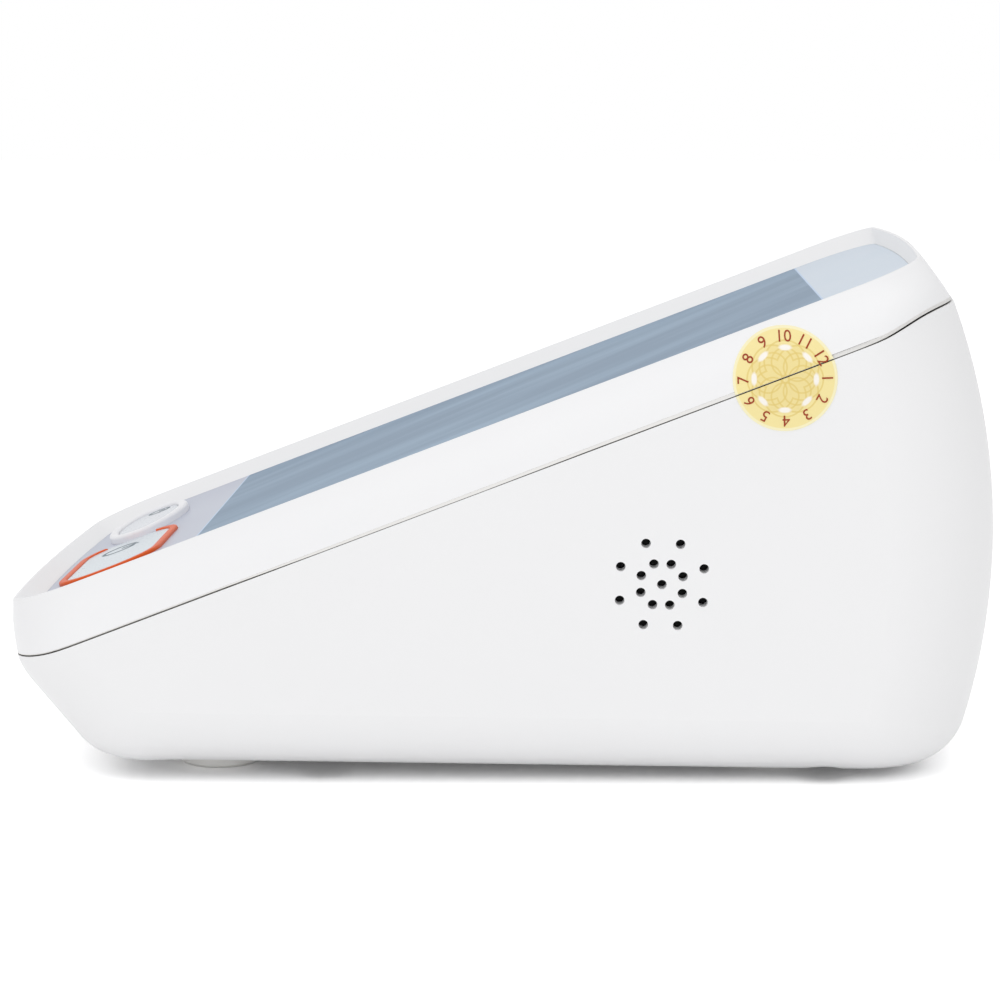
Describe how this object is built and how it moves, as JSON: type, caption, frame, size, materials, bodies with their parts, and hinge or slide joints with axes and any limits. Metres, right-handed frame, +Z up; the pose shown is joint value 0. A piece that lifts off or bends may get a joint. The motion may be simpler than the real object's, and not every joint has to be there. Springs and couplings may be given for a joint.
{
  "type": "upper arm blood pressure monitor",
  "caption": "Wedge-shaped desktop monitor with a sloping sunk display panel, two raised-rim keys, side speaker grille, air socket and battery door",
  "frame": {"origin": "on the table under the middle of the body's outline", "axes": "+X to the device's right side with the speaker grille, +Y towards its high back end, +Z up"},
  "size_m": [0.118, 0.1604, 0.0835],
  "materials": {
    "cover_plastic": "fine satin white",
    "case_plastic": "fine satin white",
    "window_plastic": "glossy, printed from behind",
    "orange_plastic": "glossy orange",
    "white_gloss_plastic": "glossy white",
    "key_plastic": "satin pale grey",
    "oval_key_plastic": "satin grey",
    "frame_plastic": "matt white",
    "display_glass": "polarised glass",
    "light_guide": "milky clear",
    "board_laminate": "green lacquered laminate",
    "switch_plastic": "black",
    "chip_plastic": "black moulded",
    "steel": "zinc plated",
    "cell_jacket": "plain printed jacket",
    "spring_steel": "nickel plated",
    "foot_rubber": "soft pale grey",
    "foam": "black foam",
    "speaker_metal": "stamped frame and paper cone",
    "socket_plastic": "pale grey",
    "manifold_plastic": "natural white",
    "valve_metal": "plated can",
    "pump_plastic": "black glass filled",
    "motor_steel": "bright can",
    "sleeve_rubber": "black",
    "hose_silicone": "milky silicone"
  },
  "bodies": {
    "housing": {"air_jack": "socket_plastic", "air_manifold": "manifold_plastic", "backlight": "light_guide", "battery_cells": "cell_jacket", "battery_plates": "spring_steel", "battery_springs": "spring_steel", "board_screws": "steel", "case_screws": "steel", "display_cell": "display_glass", "display_frame": "frame_plastic", "display_window": "window_plastic", "exhaust_valve": "valve_metal", "front_feet": "foot_rubber", "jack_hose": "hose_silicone", "lower_case": "case_plastic", "main_board": "board_laminate", "memory_bezel": "white_gloss_plastic", "memory_switch": "switch_plastic", "power_inlet": "switch_plastic", "pressure_sensor": "chip_plastic", "processor_chip": "chip_plastic", "pump_head": "pump_plastic", "pump_hose": "hose_silicone", "pump_motor": "motor_steel", "pump_sleeve": "sleeve_rubber", "rear_feet": "foot_rubber", "sensor_hose": "hose_silicone", "speaker_driver": "speaker_metal", "speaker_gasket": "foam", "start_bezel": "orange_plastic", "start_switch": "switch_plastic", "upper_cover": "cover_plastic"},
    "start_key": {"start_button": "key_plastic"},
    "memory_key": {"memory_button": "oval_key_plastic"},
    "door": {"battery_door": "case_plastic"}
  },
  "joints": [
    {"name": "start_press", "type": "slide", "parent": "housing", "child": "start_key", "axis": [0, 0.3587, -0.9335], "range_m": [0, 0.0006], "stiffness_N_per_m": 150, "springref_m": -0.002},
    {"name": "memory_press", "type": "slide", "parent": "housing", "child": "memory_key", "axis": [0, 0.3587, -0.9335], "range_m": [0, 0.0006], "stiffness_N_per_m": 150, "springref_m": -0.002},
    {"name": "door_swing", "type": "hinge", "parent": "housing", "child": "door", "pos_m": [0, 0.02795, 0.00175], "axis": [1, 0, 0], "range_deg": [0, 75]}
  ]
}
